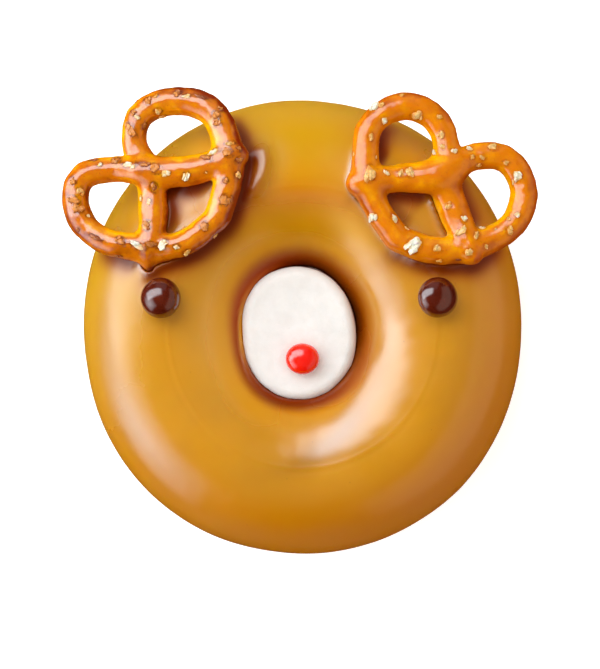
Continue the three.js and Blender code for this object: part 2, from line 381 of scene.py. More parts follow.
def marshmallow_material():
    n = Looks("marshmallow")
    powder = n.noise(0.55, 5, roughness=0.65)
    white = n.mix(n.ramp(n.noise(3.0, 4), 0.3, 0.7), (0.80, 0.755, 0.71), (0.845, 0.80, 0.755))
    # Icing stain on the marshmallow's foot, darkened lower down as painted shade in the groove
    stained_and_shaded = n.mix(n.ramp(n.height_of(), 0.0195, 0.022), (0.30, 0.05, 0.002), (0.74, 0.34, 0.01))
    n.set(Base_Color=n.mix(n.value("stain_and_shade"), white, stained_and_shaded))
    n.set(Roughness=n.ramp(powder, 0.3, 0.7, 0.75, 0.95))
    n.set(Subsurface_Weight=0.4, Subsurface_Radius=(1.0, 0.8, 0.7), Subsurface_Scale=0.002)
    n.set(Sheen_Weight=0.1)
    n.bump(powder, 0.12)
    return n.material


def sugar_material():
    n = Looks("red_sugar")
    n.set(Base_Color=n.mix(n.ramp(n.noise(1.6, 3), 0.3, 0.7), (0.93, 0.009, 0.002), (0.97, 0.014, 0.003)))
    n.set(Roughness=n.ramp(n.noise(1.0, 3), 0.3, 0.7, 0.13, 0.18), IOR=1.6, Specular_IOR_Level=1.0)
    n.set(Subsurface_Weight=0.2, Subsurface_Radius=(1.0, 0.1, 0.05), Subsurface_Scale=0.0012)
    n.bump(n.noise(0.8, 3), 0.012)
    return n.material


def floor_material():
    n = Looks("floor")
    n.set(Base_Color=n.mix(n.noise(60, 3), (0.95, 0.95, 0.95), (0.97, 0.97, 0.97)))
    n.set(Roughness=0.7, Emission_Color=(1, 1, 1, 1), Emission_Strength=0.5)
    return n.material


def finish_piece(piece, node, slot, *materials):
    for material in materials:
        piece.data.materials.append(material)
    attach(piece, "root")
    if node:
        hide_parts(node)


# The pretzels: the frame's solids made round and uneven
PRETZEL_VOXEL = 0.35
SMOOTHING_ROUNDS = 30
REGAIN = 0.3  # the smoothing takes this much off the strands
AWAY_FROM_LAMPS = np.array([0.88, -0.3, -0.33])  # faces turned this way, away from the lamps, get the darkest painted shade
HIGHLIGHT_SIDES = np.array([[-0.36, 0.25, 0.90], [-0.55, -0.25, 0.80]])  # faces under the lamps' highlights, painted darker so the highlights look whiter

# Heels where a strand ends on the bow: the tip's and the root's pixel, their heights, and the radius there
HEELS = {
    "pretzel_left": [
        ((149, 269.7), (148.5, 247), 28.5, 28.0, 7.2),
        ((249.5, 156.5), (230, 156), 33.0, 31.5, 4.4),
    ],
    "pretzel_right": [
        ((344.5, 186.5), (365, 182), 33.0, 32.5, 4.6),
        ((478, 266), (467, 247), 27.0, 28.5, 4.6),
    ],
}
HEEL_BLUNT = 0.85
HEEL_TIP = 0.15  # the least radius it is drawn to
HEEL_PULL = 0.85  # share of the way that its skin moves
HEEL_JOINT = 0.4  # where along it the strands are blended
INNER_SHADE = {"pretzel_left": 0.35, "pretzel_right": 0.0}  # painted shade on the inner side of the leftmost strand, which looks away from the lamps
CROSSINGS = {"pretzel_left": (157, 168, 36.0), "pretzel_right": (440, 168, 36.0)}
CROSSING_BLEND = (9.0, 220, 0.6)  # its reach, the rounds of smoothing, and what is put back on after them
HEEL_BLEND = (7.5, 110, 0.45)


def at_pixel(x, y, level):
    """The point at that height that the photograph shows at a pixel"""
    scale = PIXEL_AT_WAIST * (CAMERA_HEIGHT - level) / (CAMERA_HEIGHT - WAIST_LEVEL)
    across, up = (x - PHOTO_SIZE[0] / 2) * scale, (PHOTO_SIZE[1] / 2 - y) * scale
    return np.array([EYE[0] + across, EYE[1] + up, level])


def draw_heels(points, heels):
    """Draws the strands' round ends out to blunt points"""
    for tip, root, tip_level, root_level, radius in heels:
        tip, root = at_pixel(*tip, tip_level), at_pixel(*root, root_level)
        length = np.linalg.norm(tip - root)
        axis = (tip - root) / length
        along = (points - root) @ axis
        across = points - root - along[:, None] * axis
        reach = np.maximum(np.linalg.norm(across, axis=1), 0.01)
        profile = radius * np.clip(1 - along / length, 0.0, 1.0) ** HEEL_BLUNT
        share = smoothstep(0.02, 0.3, along / length) * (1 - smoothstep(radius * 0.9, radius * 1.2, reach))
        beyond = np.maximum(along - length, 0)[:, None] * axis
        drawn = across * (np.maximum(profile, HEEL_TIP) / reach - 1)[:, None]
        points = points + drawn * share[:, None] * HEEL_PULL - beyond
    return points


def apply_modifiers(piece):
    shaped = piece.evaluated_get(bpy.context.evaluated_depsgraph_get())
    piece.data = bpy.data.meshes.new_from_object(shaped)
    piece.modifiers.clear()


def remesh(piece):
    made = piece.modifiers.new("remesh", "REMESH")
    made.mode = "VOXEL"
    made.voxel_size = PRETZEL_VOXEL * MM
    apply_modifiers(piece)


def soften(piece, rounds, group=""):
    made = piece.modifiers.new("soften", "SMOOTH")
    made.factor = 0.5
    made.iterations = rounds
    made.vertex_group = group
    apply_modifiers(piece)


def blend(piece, place, reach, rounds, regain):
    """Runs the strands that meet at a place into each other, as dough that has risen"""
    distance = np.linalg.norm(points_of(piece) - place, axis=1)
    share = 1 - smoothstep(reach * 0.5, reach, distance)
    group = piece.vertex_groups.new(name="joint")
    for i in np.flatnonzero(share > 0):
        group.add([int(i)], float(share[i]), "REPLACE")
    soften(piece, rounds, "joint")
    piece.vertex_groups.clear()
    set_points(piece, points_of(piece) + normals_of(piece) * (regain * share)[:, None])


def make_pretzel(node, seed):
    piece = bpy.data.objects.new(f"{node}_baked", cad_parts[node].data.copy())
    bpy.context.collection.objects.link(piece)
    remesh(piece)
    set_points(piece, draw_heels(points_of(piece), HEELS[node]))
    for tip, root, tip_level, root_level, _ in HEELS[node]:
        root, tip = at_pixel(*root, root_level), at_pixel(*tip, tip_level)
        blend(piece, root + (tip - root) * HEEL_JOINT, *HEEL_BLEND)
    blend(piece, at_pixel(*CROSSINGS[node]), *CROSSING_BLEND)
    soften(piece, SMOOTHING_ROUNDS)
    piece.data.materials.clear()
    points, normals = points_of(piece), normals_of(piece)
    lumps = 0.18 * grain(points, 5.0, seed) + 0.1 * grain(points, 2.2, seed + 1)
    wrinkles = 0.03 * grain(points, 0.7, seed + 2)
    set_points(piece, points + normals * (REGAIN + lumps + wrinkles)[:, None])
    piece.data.shade_smooth()
    return piece


def bake_and_shade_pattern(piece, middle, shade_paint):
    """Browning with painted shade. Outer faces are browned darker than those that look into the holes, tops a
    little, and steep outer sides are darker. Painted shade darkens faces turned from the lamps and the inner
    faces of the leftmost strand, and faces under the highlights and outer faces turned up or left are painted
    darker.
    """
    points, normals = points_of(piece), normals_of(piece)
    away = points - middle
    away[:, 2] = 0
    reach = np.linalg.norm(away, axis=1)
    facing = (normals * away).sum(1) / np.maximum(reach, 0.1)
    outer = smoothstep(8, 20, reach)
    turned_from_lamps = normals @ AWAY_FROM_LAMPS
    under_highlight = np.max([smoothstep(0.86, 0.98, normals @ side) for side in HIGHLIGHT_SIDES], axis=0)
    rim = 1 - smoothstep(0.0, 0.45, np.abs(normals[:, 2]))
    browning_and_shade = 0.38 + 0.25 * facing * outer + 0.5 * turned_from_lamps + 0.16 * normals[:, 2]
    # Outer faces turned up or left, where the lamps strike hardest, are painted darker
    turned_up_left = smoothstep(0.2, 0.9, np.maximum(-normals[:, 0], normals[:, 1]))
    lit_outer_side = turned_up_left * smoothstep(0, 0.5, facing) * outer
    # Painted shade on the leftmost strand's inner faces, which look away from the lamps
    inside = smoothstep(0.3, 0.9, normals[:, 0]) * smoothstep(6, 14, -away[:, 0])
    return np.clip(browning_and_shade + 0.3 * under_highlight + 0.24 * rim * outer + 0.38 * lit_outer_side + shade_paint * inside, 0, 1)


# Salt: length, width, turn and tone of each crystal at a pixel of the photograph
SALT_LEFT = [
    (177, 93.6, 1.9, 1.2, 35, 2), (185.6, 96.4, 1.6, 0.9, 10, 0), (147.4, 101.4, 1.6, 1.5, 0, 2),
    (156, 96, 1.2, 0.7, 20, 1), (133.4, 112.6, 1.2, 1.5, 60, 2), (136.4, 117.4, 1.0, 1.3, 70, 0),
    (131, 130, 3.2, 1.5, -62, 2), (158, 111, 1.6, 1.2, 10, 1), (162, 117, 1.7, 1.0, 25, 1),
    (144, 125.6, 1.4, 1.0, 30, 2), (202, 97, 2.6, 0.6, -25, 2), (216, 115, 1.8, 1.6, -50, 2),
    (217, 123, 1.8, 1.6, -40, 2), (230, 143, 2.0, 1.0, 10, 1), (221, 109, 1.2, 1.0, 0, 2),
    (214, 151.6, 2.4, 1.4, 0, 0), (227, 152, 2.4, 1.8, -20, 2), (239, 149, 1.2, 1.2, 0, 2),
    (207, 158, 2.4, 1.3, -20, 2), (239, 160, 1.6, 1.2, 30, 2), (238, 175, 1.4, 1.4, 0, 1),
    (225, 181, 1.4, 1.2, 20, 2), (224, 200, 2.0, 2.0, 10, 2), (231, 199, 1.0, 1.2, 0, 2),
    (203.6, 225.6, 1.8, 1.8, -20, 2), (215, 236, 1.2, 1.0, 0, 1), (187, 252.4, 1.6, 1.4, 10, 1),
    (176.4, 246.4, 1.2, 1.0, 0, 0), (162, 244.4, 2.4, 1.5, 35, 0), (150, 244, 2.4, 1.0, -20, 2),
    (138, 246, 3.2, 1.3, -20, 0), (121, 241, 2.2, 1.5, -35, 2), (146, 225, 1.6, 2.3, 20, 2),
    (149, 221.6, 0.8, 0.8, 0, 0), (149, 201.6, 1.0, 1.4, 0, 0), (140.6, 198, 0.8, 1.2, 0, 0),
    (154, 187, 1.4, 2.0, 15, 2), (165, 173, 1.8, 1.2, 5, 0), (155.6, 168.6, 2.6, 1.9, -25, 2),
    (143, 164, 3.0, 1.2, -20, 2), (129, 165, 2.8, 1.2, -15, 0), (116, 160.4, 2.0, 1.8, -30, 2),
    (99.6, 164.4, 1.1, 1.1, 0, 0), (93, 160, 1.6, 0.6, -25, 2), (72.4, 181, 1.6, 1.6, 0, 2),
    (81, 191, 1.6, 1.4, -20, 1), (73, 200, 2.4, 1.6, -30, 2), (77, 208, 2.4, 1.8, -40, 2),
    (88, 215.6, 0.8, 0.8, 0, 0), (78, 230, 0.9, 1.0, 0, 2), (96, 237, 3.2, 0.8, -25, 2),
    (186, 177, 1.5, 2.1, -20, 0), (206, 172.4, 0.4, 0.4, 0, 0), (119, 258, 1.0, 0.8, 0, 2),
]
SALT_RIGHT = [
    (402, 95, 1.4, 0.9, 0, 1), (373, 108, 2.0, 2.3, -20, 0), (381, 105, 1.2, 1.2, 0, 1),
    (384.4, 121, 1.4, 1.6, 0, 0), (416, 116, 2.4, 1.8, 30, 1), (440, 117, 1.2, 1.1, 0, 1),
    (371, 137, 1.2, 1.6, 0, 1), (441, 135, 1.4, 1.4, 0, 1), (430.6, 150, 1.2, 1.4, 0, 0),
    (443, 147, 1.2, 1.4, 20, 1), (454, 150.6, 1.4, 1.2, 0, 0), (353.6, 154, 0.6, 0.8, 0, 0),
    (470, 142, 1.4, 1.2, -20, 0), (493, 147, 2.0, 1.6, -20, 1), (483, 157.4, 1.2, 1.1, 0, 1),
    (472.4, 157, 1.0, 1.0, 0, 1), (506, 163, 1.4, 1.0, -10, 1), (517.6, 176, 1.8, 1.8, 30, 0),
    (481, 170.6, 1.4, 0.8, 10, 1), (507.6, 184, 0.6, 1.2, 0, 0), (517, 214.4, 1.4, 1.0, -10, 0),
    (508.4, 219, 1.0, 0.8, 0, 1), (510, 231, 1.4, 1.8, 20, 1), (496, 229, 0.6, 0.6, 0, 0),
    (482.6, 228, 1.4, 1.2, 20, 0), (386.6, 173, 1.1, 1.3, 20, 0), (401.6, 173, 1.6, 1.6, 20, 1),
    (409.6, 172, 1.6, 2.2, 25, 1), (370, 173, 2.4, 3.4, -10, 1), (463.6, 218.6, 1.6, 1.4, 30, 0),
    (462, 231, 1.8, 2.4, -25, 1), (477, 235, 1.2, 1.6, 0, 1), (469, 252.6, 1.8, 1.6, -20, 1),
    (486, 246.6, 1.2, 1.0, -20, 1), (437.4, 248.6, 1.8, 1.6, -20, 1), (438, 260.6, 1.4, 0.8, 0, 1),
    (414, 245, 2.8, 3.3, -40, 0), (394.6, 218, 1.3, 2.0, 30, 0), (407, 228.6, 1.0, 0.6, -20, 0),
    (372.4, 217.4, 1.8, 1.8, 0, 0), (379, 239, 1.2, 1.0, -30, 1), (458, 260, 1.2, 0.6, 10, 2),
    (376.4, 157, 0.5, 0.8, 0, 0), (448, 206, 1.6, 1.2, 30, 1),
]
SALT_SUNK = 0.15
SALT_THICK = 0.5
SALT_BROADER = 1.18
CRYSTAL_MATES = 3
# Width of the painted shadow on the pretzel round each crystal
HALO_WIDTH = 0.4
UNSEEN_SALT = 12


def chunk(rng, size):
    """An angular chunk, the hull of points on a squarish ball, as points and faces"""
    lump = bmesh.new()
    for _ in range(16):
        way = np.array([rng.gauss(0, 1) for _ in range(3)])
        way /= (np.abs(way) ** 3).sum() ** (1 / 3)
        lump.verts.new(way * np.array(size) / 2 * rng.uniform(0.85, 1.0))
    hull = bmesh.ops.convex_hull(lump, input=lump.verts)
    inside = [v for v in hull["geom_interior"] if isinstance(v, bmesh.types.BMVert)]
    bmesh.ops.delete(lump, geom=inside, context="VERTS")
    bmesh.ops.bevel(
        lump, geom=lump.edges[:], offset=min(size) * 0.05, segments=1, affect="EDGES", clamp_overlap=True
    )
    lump.verts.index_update()
    points = np.array([v.co for v in lump.verts])
    faces = [[v.index for v in f.verts] for f in lump.faces]
    lump.free()
    return points, faces


def crystal(rng, length, width):
    """A crystal and the smaller ones that grew onto it, lying flat"""
    height = SALT_THICK * min(length, width)
    points, faces = chunk(rng, (length * 0.85, width * 0.95, height))
    for _ in range(CRYSTAL_MATES if length > 1.1 else 1):
        mate, more = chunk(rng, (length * rng.uniform(0.4, 0.6), width * rng.uniform(0.5, 0.8), height))
        along, across = rng.uniform(-0.33, 0.33), rng.uniform(-0.3, 0.3)
        shift = [length * along, width * across, height * rng.uniform(-0.1, 0.25)]
        faces = faces + [[i + len(points) for i in face] for face in more]
        points = np.vstack([points, mate + shift])
    return points, faces


def add_salt(pretzel, rows, seed):
    """Sets the crystals on the pretzel, by tone, and returns how far its skin is from them"""
    rng = random.Random(seed)
    tree = tree_of(pretzel)
    spots = []
    for x, y, length, width, turn, tone in rows:
        place, normal, _, _ = tree.ray_cast(Vector(EYE), below_pixel(x, y))
        if place is None:
            nearest = Vector(EYE) + below_pixel(x, y) * (CAMERA_HEIGHT - RING_HEIGHT)
            place, normal, _, _ = tree.find_nearest(nearest)
        spots.append((place, normal, length * SALT_BROADER, width * SALT_BROADER, math.radians(turn), tone))
    points, normals = points_of(pretzel), normals_of(pretzel)
    hidden = np.flatnonzero(normals[:, 2] < -0.1)
    for _ in range(UNSEEN_SALT):
        i = int(hidden[rng.randrange(len(hidden))])
        size = rng.uniform(0.8, 1.8)
        turn = rng.uniform(0, TAU)
        spots.append((Vector(points[i]), Vector(normals[i]), size, size * 0.8, turn, rng.choice((1, 2))))
    shapes = {tone: ([], []) for tone in range(3)}
    gap = np.full(len(points), 9.0)
    for place, normal, length, width, turn, tone in spots:
        local, faces = crystal(rng, length, width)
        along = Vector((math.cos(turn), math.sin(turn), 0))
        along = (along - normal * along.dot(normal)).normalized()
        basis = np.array([along, normal.cross(along), normal])
        sunk = SALT_SUNK * SALT_THICK * min(length, width) / 2
        placed = local @ basis + np.array(place - normal * sunk)
        verts, quads = shapes[tone]
        quads.extend([[i + len(verts) for i in f] for f in faces])
        verts.extend(placed.tolist())
        offset = (points - np.array(place)) @ basis.T
        oval = np.hypot(offset[:, 0] / length, offset[:, 1] / width) * 2
        near = np.abs(offset[:, 2]) < 1.5
        edge = np.where(near, (oval - 1) * min(length, width) / 2, 9.0)
        gap = np.minimum(gap, np.abs(edge + 0.05))
    return shapes, gap


def make_salt(pretzel, side, rows, seed, materials):
    shapes, gap = add_salt(pretzel, rows, seed)
    tree = tree_of(pretzel)
    for tone, name in enumerate(("pale", "amber", "brown")):
        verts, faces = shapes[tone]
        if not verts:
            continue
        salt = make_mesh(f"salt_{name}_{side}", verts, faces, smooth=False)
        # The foot of each crystal, where it sits on the pretzel, gets painted shade
        above = [tree.find_nearest(Vector(v))[3] for v in verts]
        set_value(salt, "rim", 1 - smoothstep(0.05, 0.4, np.array(above)))
        finish_piece(salt, None, "baked_pretzel", materials[tone])
    return gap


# The icing: a fine closed skin that takes the pieces' seats
ICING_ROWS = 700
FACE_COLUMNS = 100
LIP_COLUMNS = 8
BACK_COLUMNS = 10
LIP = 0.05  # share of the face that rounds over to the lower edge
SEATS_ABOVE = 20  # pieces sit in the icing higher up than this
SEAT_REACH = 1.5  # and bear on it within this distance
SEAT_DEPTH = 0.03  # how far it stays below the skin of a piece that sits in it
GROOVE_ABOVE = 17  # the lowest level where it fills the groove round the marshmallow
INNER_SWEEP = math.radians(80)  # headings either side of +X over which the inner sheen runs outwards
HOLE_REACH = 7  # from the marshmallow's side to where the groove's looks end
LINE_RADII = (27.6, 29.1)  # of the faint ring that the icing left as it set
SIDE_OF_SHADE = np.array([0.75, -0.66])
SIDE_OF_LIP = np.array([-0.86, -0.5])
GROOVE_FILL = 1.3  # how high the icing stands in the groove round the marshmallow
SWELL_LINE = [(262, 150), (264, 160), (263, 175), (257, 190)]  # pixels of the ridge by the left pretzel
MOAT_LINE = [(251, 161), (250, 172), (247, 186), (243, 200)]  # and of the hollow inside it


def spread(count, low, high, density):
    """Steps from low to high, closest where the density is greatest"""
    fine = np.linspace(low, high, 4001)
    sums = np.cumsum(density(fine))
    return np.interp(np.linspace(0, 1, count), (sums - sums[0]) / (sums[-1] - sums[0]), fine)


def face_density(share):
    return 1 + 1.6 * bell(share, 0.48, 0.13) + 0.8 * bell(share, 0.85, 0.06)


def icing_surface():
    heading = spread(ICING_ROWS + 1, 0, TAU, lambda a: 1 + 1.6 * bell(a, math.pi / 2, 1.0))[:-1]
    lip = LIP * (1 - np.cos(np.linspace(0, math.pi / 2, LIP_COLUMNS, endpoint=False)))
    face = spread(FACE_COLUMNS, LIP, 1 - LIP, face_density)
    along = np.concatenate([lip, face, 1 - lip[::-1]])
    back = np.linspace(1, 0, BACK_COLUMNS + 2)[1:-1]
    columns = np.concatenate([along, back])
    outer, inner = icing_edges(heading)
    angle = outer[:, None] + (inner - outer)[:, None] * columns[None, :]
    heading = np.repeat(heading[:, None], len(columns), 1)
    from_edge = np.minimum(along, 1 - along) / LIP
    rounding = 1 - np.sqrt(np.clip(1 - (1 - np.clip(from_edge, 0, 1)) ** 2, 0, 1))
    thick = icing_depth(angle)
    depth = thick - 0.02
    depth[:, : len(along)] = thick[:, : len(along)] * rounding[None, :] * 0.98
    on_face = np.zeros_like(angle)
    on_face[:, : len(along)] = 1 - rounding[None, :]
    return heading, angle, depth, on_face


def from_line(points, pixels):
    """How far each point is from a line through pixels of the photograph, seen from above"""
    corners = [at_pixel(x, y, RING_HEIGHT)[:2] for x, y in pixels]
    nearest = np.full(len(points), 99.0)
    for a, b in zip(corners, corners[1:]):
        share = np.clip((points[:, :2] - a) @ (b - a) / ((b - a) @ (b - a)), 0, 1)
        nearest = np.minimum(nearest, np.linalg.norm(points[:, :2] - a - share[:, None] * (b - a), axis=1))
    return nearest


def from_marshmallow(flat):
    """How far each point is out from the marshmallow's side, and its heading from there"""
    from_middle = flat[:, :2] - MARSHMALLOW_OFFSET
    heading = np.arctan2(from_middle[:, 1], from_middle[:, 0])
    return np.linalg.norm(from_middle, axis=1) - marshmallow_outline(heading), heading


def blurred(values, rows, rounds):
    """Field on the icing's grid, evened out between neighbours"""
    field = values.reshape(rows, -1)
    for _ in range(rounds):
        for axis in (0, 1):
            field = (np.roll(field, 1, axis) + 2 * field + np.roll(field, -1, axis)) / 4
    return field.ravel()


def near_pieces(points, chosen, pieces, reach, squash=1.0):
    """Distance to the nearest of the pieces and the way out from it, seen from above. A squash under
    1 counts heights less."""
    gap = np.full(len(points), 9.0)
    way = np.zeros((len(points), 2))
    points = points * [1, 1, squash]
    for tree in [tree_of(piece, squash) for piece in pieces]:
        for i in chosen:
            place, _, _, distance = tree.find_nearest(Vector(points[i]), reach)
            if place is not None and distance < gap[i]:
                gap[i] = distance
                out = (points[i] - np.array(place))[:2]
                way[i] = out / max(np.linalg.norm(out), 0.05)
    return gap, way


def make_icing(pretzels, balls):
    heading, angle, depth, on_face = icing_surface()
    rows, columns = heading.shape
    points = skin(heading, angle, depth)
    normal = points - skin(heading, angle, depth + 1)
    normal /= np.linalg.norm(normal, axis=2, keepdims=True)
    points = points.reshape(-1, 3)
    normal = normal.reshape(-1, 3)
    on_face = on_face.ravel()
    flat = points - AXIS
    reach = np.hypot(flat[:, 0] / LINE_RADII[0], flat[:, 1] / LINE_RADII[1]) * LINE_RADII[0]
    above = flat[:, 2] > WAIST_LEVEL
    line = 0.05 * bell(reach, LINE_RADII[0], 0.35) - 0.03 * bell(reach, LINE_RADII[0] + 0.9, 0.5)
    swell = 0.16 * grain(points, 13.0, 3) + 0.03 * grain(points, 3.0, 4)
    in_the_hole = bell(flat[:, 2], WAIST_LEVEL, 4.0) * (np.hypot(flat[:, 0], flat[:, 1]) < 20)
    points += normal * ((swell * (1 - in_the_hole) + line * above) * on_face)[:, None]
    top = np.flatnonzero((on_face > 0.9) & (flat[:, 2] > SEATS_ABOVE))
    upper = np.zeros(len(points))
    upper[top] = 1
    to_pretzel, way = near_pieces(points, top, pretzels, 6.0)
    beside, down = near_pieces(points, top, pretzels, 5.0, 0.3)
    to_ball, _ = near_pieces(points, top, balls, 3.0)
    lipped = smoothstep(0.1, 0.7, way @ SIDE_OF_LIP) * upper
    shade = smoothstep(-0.3, 0.7, way @ SIDE_OF_SHADE)
    rise = 0.35 * bell(to_pretzel, 0, 1.1) + 0.65 * shade * bell(to_pretzel, 0, 1.7)
    rise += 0.3 * bell(to_ball, 0, 0.8)
    rise += 0.3 * lipped * bell(to_pretzel, 0.6, 0.35)
    ridge, moat = from_line(points, SWELL_LINE), from_line(points, MOAT_LINE)
    rise += upper * (1.1 * bell(ridge, 0, 2.3) - 0.35 * bell(moat, 0, 0.9))
    out, side = from_marshmallow(flat)
    groove = GROOVE_FILL * (0.82 + 0.18 * np.cos(side - np.radians(SOAKED_SIDE))) * bell(out, 0.2, 0.6)
    points[:, 2] += blurred(rise * upper, rows, 2) + groove * (on_face > 0.9) * (flat[:, 2] > GROOVE_ABOVE)
    trees = [tree_of(piece) for piece in pretzels + balls]
    for i in top[(to_pretzel[top] < SEAT_REACH) | (to_ball[top] < SEAT_REACH)]:
        for tree in trees:
            seat, _, _, _ = tree.ray_cast(Vector((points[i, 0], points[i, 1], 0)), Vector((0, 0, 1)))
            if seat is not None:
                points[i, 2] = min(points[i, 2], seat.z - SEAT_DEPTH)
    icing = make_mesh("icing_poured", points, ring_faces(rows, columns))

    # Painted shade under the pretzels and in the groove round the marshmallow. "under" is a nearly black
    # painted shadow, "pool" a dark brown painted shade, and "amber" makes that painted shade more golden.
    near_hole = out < HOLE_REACH
    over = smoothstep(-0.3, 0.7, down @ SIDE_OF_SHADE) * (1 - smoothstep(1.4, 3.8, beside))
    under = blurred(over * (1 - smoothstep(0.8, 3.2, beside)), rows, 6)
    cast = np.maximum(over, shade * (1 - smoothstep(0.5, 6.0, to_pretzel))) * 0.95
    by_pretzel = np.maximum(0.8 * bell(to_pretzel, 0, 0.4), blurred(cast, rows, 10)) * upper
    wide = 0.5 + 0.5 * np.cos(side - np.radians(60))
    golden = 0.9 * bell(turned(side, 177), 0, 0.55) * (1 - smoothstep(0.6, 1.3, out))
    low_right = bell(turned(side, -40), 0, 0.65) * near_hole
    past_groove = (out - 0.5 - 1.3 * wide - 0.8 * low_right) / (2.7 + 1.1 * wide)
    in_hole = (1 - smoothstep(0, 1, past_groove)) * near_hole
    in_hole = in_hole * (0.95 - 0.17 * smoothstep(0.0, 0.8, np.cos(side - np.radians(15)))) * (1 - golden)
    low_side = 0.45 * (1 - smoothstep(0.6, 3.0, out)) * (1 - smoothstep(0.15, 0.6, wide))
    low_side = low_side * (1 - golden) * near_hole
    low_side = np.maximum(low_side, 0.25 * low_right * (1 - smoothstep(0.6, 2.5, out)))
    set_value(icing, "under", np.clip(np.maximum(0.75 * under * upper, low_side), 0, 1))
    set_value(icing, "amber", bell(turned(side, 185), 0, 0.8) * near_hole)
    moated = bell(moat, 0, 1.5) * upper
    set_value(icing, "painted_shade", np.clip(np.maximum.reduce([by_pretzel, in_hole, moated]), 0, 1))

    # Colour of the slopes: "rich" is a redder painted shade on the slopes turned from the lamps and on the
    # ledge inside the top of the crest, "sunny" a yellower painted light on the slopes turned to them and
    # "cream" a paler painted sheen on the inner slopes. "dull" and "calm" weaken the sheen, and "gleam" is a
    # darker body under a bright coat, painted darker where the highlights lie.
    lower_right = 0.5 + 0.5 * np.cos(np.radians(-55) - heading.ravel())
    reach = np.hypot(flat[:, 0], flat[:, 1])
    outer_slope = smoothstep(RING_LINE, RING_LINE + 14, reach)
    lip = lipped * bell(to_pretzel, 0.6, 0.45)
    dull = bell(heading.ravel(), math.pi / 2, 0.55) * smoothstep(24, 29, reach) * (1 - lip)
    set_value(icing, "dull", dull * (1 - upper * bell(ridge, 0, 3.0)))
    # Painted shade, redder, on the outer slope at the lower right, turned from the lamps, and on the ledge
    # inside the top
    ledge = 0.8 * bell(heading.ravel(), math.pi / 2, 0.5) * bell(reach, 27.0, 3.0)
    set_value(icing, "painted_shade_red", np.clip(np.maximum(outer_slope * (1.15 * lower_right - 0.15), ledge), 0, 1))
    # Painted light: yellower on the outer slopes turned to the lamps
    painted_light_yellow = smoothstep(RING_LINE - 2, RING_LINE + 10, reach) * smoothstep(0.35, 0.85, 1 - lower_right)
    set_value(icing, "painted_light_yellow", painted_light_yellow)
    leftmost = turned(heading.ravel(), 180)
    calm = 0.42 * bell(leftmost, -0.05, 0.5) * smoothstep(RING_LINE + 1, RING_LINE + 5, reach)
    turned_away = smoothstep(-0.5, 0.1, np.cos(side - np.radians(150))) * (1 - golden)
    calm = np.maximum(calm, 0.9 * (1 - smoothstep(4.5, 8.5, out)) * turned_away)
    set_value(icing, "calm", np.maximum(calm, 0.8 * low_right * (1 - smoothstep(1.5, 4.5, out))))
    # Painted sheen: paler on the inner left slope and along the upper right of the inner slope
    across = turned(heading.ravel(), 0)
    inner_slope = (across / INNER_SWEEP) ** 2
    right_band = 0.85 * bell(across, 1.08, 0.3) * bell(reach, 17 + 9.3 * inner_slope, 3.0)
    set_value(icing, "painted_sheen", 0.58 * bell(leftmost, 0.15, 0.75) * bell(reach, 19.0, 5.5) + right_band)
    # Where the highlights lie the body is painted darker, under a brighter coat
    band = bell(reach, 17 + 8.3 * inner_slope, 2.8) * (np.abs(across) < 2.3)
    gleam = band * (0.35 * bell(across, -0.5, 0.9) + 0.7 * bell(across, -1.3, 0.42))
    to_left = 0.55 * bell(leftmost, 0.56, 0.35) + 0.4 * bell(leftmost, 0.0, 0.35)
    outer_band = bell(reach, 40.3, 3.0) * to_left
    gleam = gleam + outer_band + 0.8 * lip + 0.5 * upper * bell(ridge, 0, 1.5)
    set_value(icing, "gleam", np.clip(gleam, 0, 1))
    return icing


# The dough under it
DOUGH_ROWS = 480
DOUGH_COLUMNS = 120


def make_dough():
    heading, turn = np.meshgrid(
        np.arange(DOUGH_ROWS) / DOUGH_ROWS * TAU,
        np.arange(DOUGH_COLUMNS) / DOUGH_COLUMNS * TAU,
        indexing="ij",
    )
    outer, inner = icing_edges(heading)
    points = skin(heading, turn, icing_depth(turn)).reshape(-1, 3)
    normal = points - skin(heading, turn, icing_depth(turn) + 1).reshape(-1, 3)
    normal /= np.maximum(np.linalg.norm(normal, axis=1, keepdims=True), 1e-6)
    past_icing = np.minimum(turn - inner, outer + TAU - turn)
    show = smoothstep(0.05, 0.25, past_icing).ravel()
    show = show * smoothstep(0.2, 1.2, points[:, 2])
    crust = 0.28 * grain(points, 6.0, 7) + 0.14 * grain(points, 2.2, 8) + 0.05 * grain(points, 0.9, 9)
    points += normal * (crust * show)[:, None]
    return make_mesh("dough_fried", points, ring_faces(DOUGH_ROWS, DOUGH_COLUMNS))


# The marshmallow
MARSHMALLOW_RADIUS = 12.95
MARSHMALLOW_OFFSET = np.array([-0.86, -1.4])
MARSHMALLOW_TOP = 24.5
MARSHMALLOW_FOOT = 0.4
MARSHMALLOW_EDGE = 2.2
MARSHMALLOW_ROWS = 260
SOAKED_SIDE = 190  # where the icing stains furthest up the marshmallow
SOAKED_LEVEL = 21.2
SOAKED_MORE = 1.7


def marshmallow_outline(heading):
    oval = 1.06 * np.cos(2 * (heading - 0.056))
    return MARSHMALLOW_RADIUS - oval + 0.2 * np.cos(3 * heading) - 0.16 * np.cos(4 * (heading - 0.166))


def hole_radius(heading, level):
    reach = np.where(level > WAIST_LEVEL, RING_HEIGHT - WAIST_LEVEL, WAIST_LEVEL + FOOT_SINK)
    rise = (level - WAIST_LEVEL) / reach
    return ring_line(heading) - tube_half_width(heading, True) * np.sqrt(1 - rise**2)


